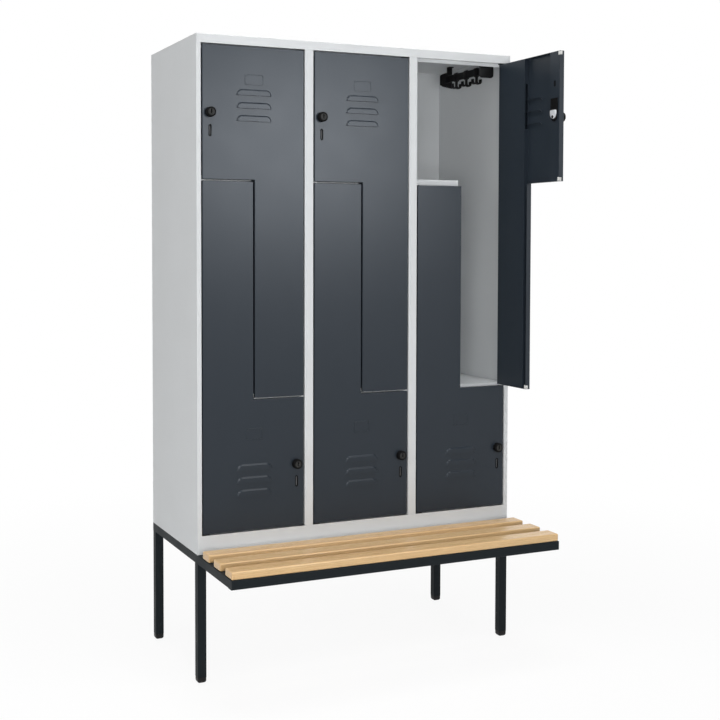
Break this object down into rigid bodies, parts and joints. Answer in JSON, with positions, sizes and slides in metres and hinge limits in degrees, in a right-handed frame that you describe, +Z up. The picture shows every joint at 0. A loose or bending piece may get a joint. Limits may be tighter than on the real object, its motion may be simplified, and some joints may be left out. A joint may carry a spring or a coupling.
{
  "type": "locker with bench",
  "caption": "Steel clothes locker with interlocking Z-shaped doors, cam locks, coat rails and a slatted bench on its tube frame.",
  "frame": {"origin": "on the floor, at the bottom centre of the box round the locker with its one open door", "axes": "+Z up, +Y from the front to the back, +X to the right when facing the doors"},
  "size_m": [1.2, 0.8446, 2.127],
  "materials": {
    "light_grey_coating": "satin powder coating",
    "anthracite_coating": "satin powder coating",
    "black_grey_coating": "satin powder coating",
    "black_plastic": "moulded, fine grain",
    "zinc_plated_steel": "zinc plated",
    "lacquered_beech": "clear lacquer"
  },
  "bodies": {
    "locker": {"side_panel_left": "light_grey_coating", "side_panel_right": "light_grey_coating", "partition_1": "light_grey_coating", "partition_2": "light_grey_coating", "floor_panel": "light_grey_coating", "roof_panel": "light_grey_coating", "back_panel": "light_grey_coating", "z_divider_1": "light_grey_coating", "z_divider_2": "light_grey_coating", "z_divider_3": "light_grey_coating", "bench_frame": "black_grey_coating", "foot_cap_front_left": "black_plastic", "foot_cap_rear_left": "black_plastic", "foot_cap_front_right": "black_plastic", "foot_cap_rear_right": "black_plastic", "bench_slat_1": "lacquered_beech", "bench_slat_2": "lacquered_beech", "bench_slat_3": "lacquered_beech", "coat_rail_upper_1": "black_plastic", "coat_rail_upper_2": "black_plastic", "coat_rail_upper_3": "black_plastic", "coat_rail_lower_1": "black_plastic", "coat_rail_lower_2": "black_plastic", "coat_rail_lower_3": "black_plastic"},
    "leaf_upper_1": {"door_upper_1": "anthracite_coating", "lock_housing_upper_1": "black_plastic"},
    "plug_upper_1": {"lock_plug_upper_1": "zinc_plated_steel"},
    "hook_upper_1_1": {"coat_hook_upper_1_1": "black_plastic"},
    "hook_upper_1_2": {"coat_hook_upper_1_2": "black_plastic"},
    "hook_upper_1_3": {"coat_hook_upper_1_3": "black_plastic"},
    "leaf_upper_2": {"door_upper_2": "anthracite_coating", "lock_housing_upper_2": "black_plastic"},
    "plug_upper_2": {"lock_plug_upper_2": "zinc_plated_steel"},
    "hook_upper_2_1": {"coat_hook_upper_2_1": "black_plastic"},
    "hook_upper_2_2": {"coat_hook_upper_2_2": "black_plastic"},
    "hook_upper_2_3": {"coat_hook_upper_2_3": "black_plastic"},
    "leaf_upper_3": {"door_upper_3": "anthracite_coating", "lock_housing_upper_3": "black_plastic"},
    "plug_upper_3": {"lock_plug_upper_3": "zinc_plated_steel"},
    "hook_upper_3_1": {"coat_hook_upper_3_1": "black_plastic"},
    "hook_upper_3_2": {"coat_hook_upper_3_2": "black_plastic"},
    "hook_upper_3_3": {"coat_hook_upper_3_3": "black_plastic"},
    "leaf_lower_1": {"door_lower_1": "anthracite_coating", "lock_housing_lower_1": "black_plastic"},
    "plug_lower_1": {"lock_plug_lower_1": "zinc_plated_steel"},
    "hook_lower_1_1": {"coat_hook_lower_1_1": "black_plastic"},
    "hook_lower_1_2": {"coat_hook_lower_1_2": "black_plastic"},
    "hook_lower_1_3": {"coat_hook_lower_1_3": "black_plastic"},
    "leaf_lower_2": {"door_lower_2": "anthracite_coating", "lock_housing_lower_2": "black_plastic"},
    "plug_lower_2": {"lock_plug_lower_2": "zinc_plated_steel"},
    "hook_lower_2_1": {"coat_hook_lower_2_1": "black_plastic"},
    "hook_lower_2_2": {"coat_hook_lower_2_2": "black_plastic"},
    "hook_lower_2_3": {"coat_hook_lower_2_3": "black_plastic"},
    "leaf_lower_3": {"door_lower_3": "anthracite_coating", "lock_housing_lower_3": "black_plastic"},
    "plug_lower_3": {"lock_plug_lower_3": "zinc_plated_steel"},
    "hook_lower_3_1": {"coat_hook_lower_3_1": "black_plastic"},
    "hook_lower_3_2": {"coat_hook_lower_3_2": "black_plastic"},
    "hook_lower_3_3": {"coat_hook_lower_3_3": "black_plastic"}
  },
  "joints": [
    {"name": "hinge_upper_1", "type": "hinge", "parent": "locker", "child": "leaf_upper_1", "pos_m": [-0.2267, -0.0687, 0.9345], "axis": [0, 0, 1], "range_deg": [0, 90]},
    {"name": "cam_upper_1", "type": "hinge", "parent": "leaf_upper_1", "child": "plug_upper_1", "pos_m": [-0.5535, -0.0777, 1.875], "axis": [0, -1, 0], "range_deg": [0, 90]},
    {"name": "slide_upper_1_1", "type": "slide", "parent": "locker", "child": "hook_upper_1_1", "axis": [0, 1, 0], "range_m": [-0.025, 0.025]},
    {"name": "slide_upper_1_2", "type": "slide", "parent": "locker", "child": "hook_upper_1_2", "axis": [0, 1, 0], "range_m": [-0.025, 0.025]},
    {"name": "slide_upper_1_3", "type": "slide", "parent": "locker", "child": "hook_upper_1_3", "axis": [0, 1, 0], "range_m": [-0.025, 0.025]},
    {"name": "hinge_upper_2", "type": "hinge", "parent": "locker", "child": "leaf_upper_2", "pos_m": [0.1733, -0.0687, 0.9345], "axis": [0, 0, 1], "range_deg": [0, 90]},
    {"name": "cam_upper_2", "type": "hinge", "parent": "leaf_upper_2", "child": "plug_upper_2", "pos_m": [-0.1535, -0.0777, 1.875], "axis": [0, -1, 0], "range_deg": [0, 90]},
    {"name": "slide_upper_2_1", "type": "slide", "parent": "locker", "child": "hook_upper_2_1", "axis": [0, 1, 0], "range_m": [-0.025, 0.025]},
    {"name": "slide_upper_2_2", "type": "slide", "parent": "locker", "child": "hook_upper_2_2", "axis": [0, 1, 0], "range_m": [-0.025, 0.025]},
    {"name": "slide_upper_2_3", "type": "slide", "parent": "locker", "child": "hook_upper_2_3", "axis": [0, 1, 0], "range_m": [-0.025, 0.025]},
    {"name": "hinge_upper_3", "type": "hinge", "parent": "locker", "child": "leaf_upper_3", "pos_m": [0.5733, -0.0687, 0.9345], "axis": [0, 0, 1], "range_deg": [-90, 0]},
    {"name": "cam_upper_3", "type": "hinge", "parent": "leaf_upper_3", "child": "plug_upper_3", "pos_m": [0.5823, -0.3955, 1.875], "axis": [1, 0, 0], "range_deg": [0, 90]},
    {"name": "slide_upper_3_1", "type": "slide", "parent": "locker", "child": "hook_upper_3_1", "axis": [0, 1, 0], "range_m": [-0.025, 0.025]},
    {"name": "slide_upper_3_2", "type": "slide", "parent": "locker", "child": "hook_upper_3_2", "axis": [0, 1, 0], "range_m": [-0.025, 0.025]},
    {"name": "slide_upper_3_3", "type": "slide", "parent": "locker", "child": "hook_upper_3_3", "axis": [0, 1, 0], "range_m": [-0.025, 0.025]},
    {"name": "hinge_lower_1", "type": "hinge", "parent": "locker", "child": "leaf_lower_1", "pos_m": [-0.5733, -0.0687, 0.493], "axis": [0, 0, -1], "range_deg": [0, 90]},
    {"name": "cam_lower_1", "type": "hinge", "parent": "leaf_lower_1", "child": "plug_lower_1", "pos_m": [-0.2465, -0.0777, 0.704], "axis": [0, 1, 0], "range_deg": [0, 90]},
    {"name": "slide_lower_1_1", "type": "slide", "parent": "locker", "child": "hook_lower_1_1", "axis": [0, 1, 0], "range_m": [-0.025, 0.025]},
    {"name": "slide_lower_1_2", "type": "slide", "parent": "locker", "child": "hook_lower_1_2", "axis": [0, 1, 0], "range_m": [-0.025, 0.025]},
    {"name": "slide_lower_1_3", "type": "slide", "parent": "locker", "child": "hook_lower_1_3", "axis": [0, 1, 0], "range_m": [-0.025, 0.025]},
    {"name": "hinge_lower_2", "type": "hinge", "parent": "locker", "child": "leaf_lower_2", "pos_m": [-0.1733, -0.0687, 0.493], "axis": [0, 0, -1], "range_deg": [0, 90]},
    {"name": "cam_lower_2", "type": "hinge", "parent": "leaf_lower_2", "child": "plug_lower_2", "pos_m": [0.1535, -0.0777, 0.704], "axis": [0, 1, 0], "range_deg": [0, 90]},
    {"name": "slide_lower_2_1", "type": "slide", "parent": "locker", "child": "hook_lower_2_1", "axis": [0, 1, 0], "range_m": [-0.025, 0.025]},
    {"name": "slide_lower_2_2", "type": "slide", "parent": "locker", "child": "hook_lower_2_2", "axis": [0, 1, 0], "range_m": [-0.025, 0.025]},
    {"name": "slide_lower_2_3", "type": "slide", "parent": "locker", "child": "hook_lower_2_3", "axis": [0, 1, 0], "range_m": [-0.025, 0.025]},
    {"name": "hinge_lower_3", "type": "hinge", "parent": "locker", "child": "leaf_lower_3", "pos_m": [0.2267, -0.0687, 0.493], "axis": [0, 0, -1], "range_deg": [0, 90]},
    {"name": "cam_lower_3", "type": "hinge", "parent": "leaf_lower_3", "child": "plug_lower_3", "pos_m": [0.5535, -0.0777, 0.704], "axis": [0, 1, 0], "range_deg": [0, 90]},
    {"name": "slide_lower_3_1", "type": "slide", "parent": "locker", "child": "hook_lower_3_1", "axis": [0, 1, 0], "range_m": [-0.025, 0.025]},
    {"name": "slide_lower_3_2", "type": "slide", "parent": "locker", "child": "hook_lower_3_2", "axis": [0, 1, 0], "range_m": [-0.025, 0.025]},
    {"name": "slide_lower_3_3", "type": "slide", "parent": "locker", "child": "hook_lower_3_3", "axis": [0, 1, 0], "range_m": [-0.025, 0.025]}
  ]
}
